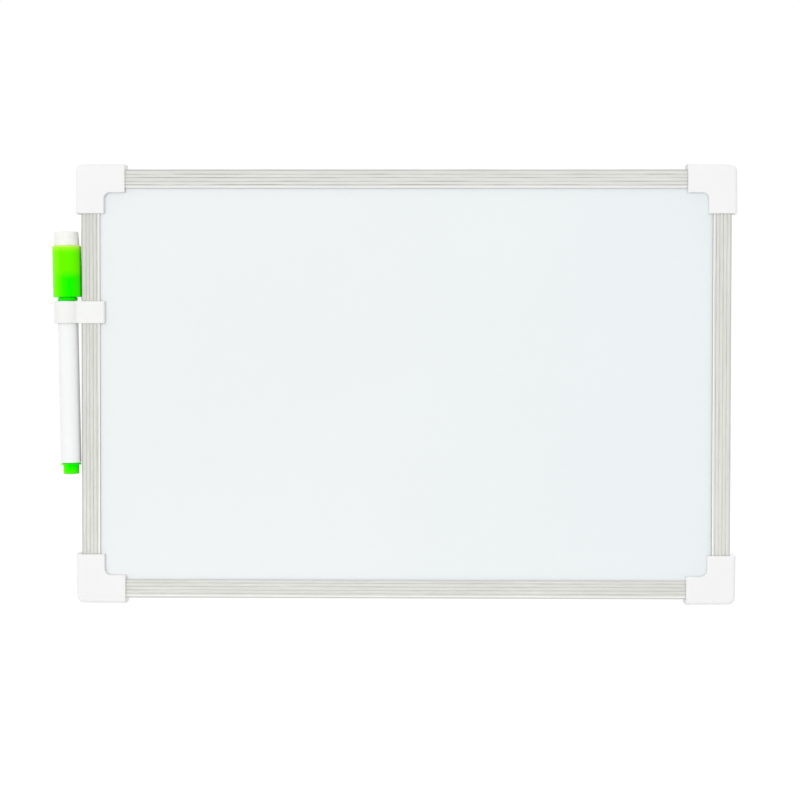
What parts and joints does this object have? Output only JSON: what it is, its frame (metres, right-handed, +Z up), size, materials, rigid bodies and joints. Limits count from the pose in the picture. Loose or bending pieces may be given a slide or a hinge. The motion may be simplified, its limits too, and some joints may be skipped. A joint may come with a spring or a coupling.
{
  "type": "magnetic whiteboard",
  "caption": "Small wall-hung magnetic dry-wipe board with an aluminium frame, plastic corner caps, sliding hangers and a capped marker in a side clip.",
  "frame": {"origin": "the middle of the board in the wall plane, which the backs of the four corner caps lie in", "axes": "+X to the right along the width as seen from the front, +Y out of the back towards the wall, +Z up; the writing face looks along -Y"},
  "size_m": [0.3111, 0.014, 0.2],
  "materials": {
    "writing_white": "gloss white lacquer on steel",
    "core_fibreboard": "raw fibreboard",
    "back_steel": "pale grey coat on steel",
    "rail_aluminium": "satin, drawn lengthwise",
    "corner_white": "fine satin",
    "hanger_white": "satin",
    "clip_white": "semi-gloss",
    "barrel_white": "gloss",
    "marker_green": "gloss",
    "liner_natural": "milky",
    "nib_fibre": "ink-soaked fibre",
    "reservoir_fibre": "ink-soaked fibre",
    "eraser_felt": "pressed felt"
  },
  "bodies": {
    "board": {"writing_sheet": "writing_white", "core_board": "core_fibreboard", "back_sheet": "back_steel", "rail_top": "rail_aluminium", "rail_bottom": "rail_aluminium", "rail_left": "rail_aluminium", "rail_right": "rail_aluminium", "corner_cap_top_left": "corner_white", "corner_cap_top_right": "corner_white", "corner_cap_bottom_left": "corner_white", "corner_cap_bottom_right": "corner_white"},
    "clip": {"marker_clip": "clip_white"},
    "cap": {"marker_cap": "marker_green", "cap_inner_liner": "liner_natural", "cap_eraser": "eraser_felt"},
    "marker": {"marker_barrel": "barrel_white", "marker_end_plug": "marker_green", "marker_section": "marker_green", "marker_nib": "nib_fibre", "ink_reservoir": "reservoir_fibre"},
    "left_hanger": {"hanger_left": "hanger_white"},
    "right_hanger": {"hanger_right": "hanger_white"}
  },
  "joints": [
    {"name": "clip_slide", "type": "slide", "parent": "board", "child": "clip", "axis": [0, 0, 1], "range_m": [-0.01, 0.0035]},
    {"name": "marker_lift", "type": "slide", "parent": "clip", "child": "cap", "axis": [-0.0183, 0, 0.9998], "range_m": [-0.0015, 0.004]},
    {"name": "marker_pull", "type": "slide", "parent": "cap", "child": "marker", "axis": [0.0183, 0, -0.9998], "range_m": [0, 0.024]},
    {"name": "left_hanger_slide", "type": "slide", "parent": "board", "child": "left_hanger", "axis": [1, 0, 0], "range_m": [-0.028, 0.06]},
    {"name": "right_hanger_slide", "type": "slide", "parent": "board", "child": "right_hanger", "axis": [1, 0, 0], "range_m": [-0.06, 0.028]}
  ]
}
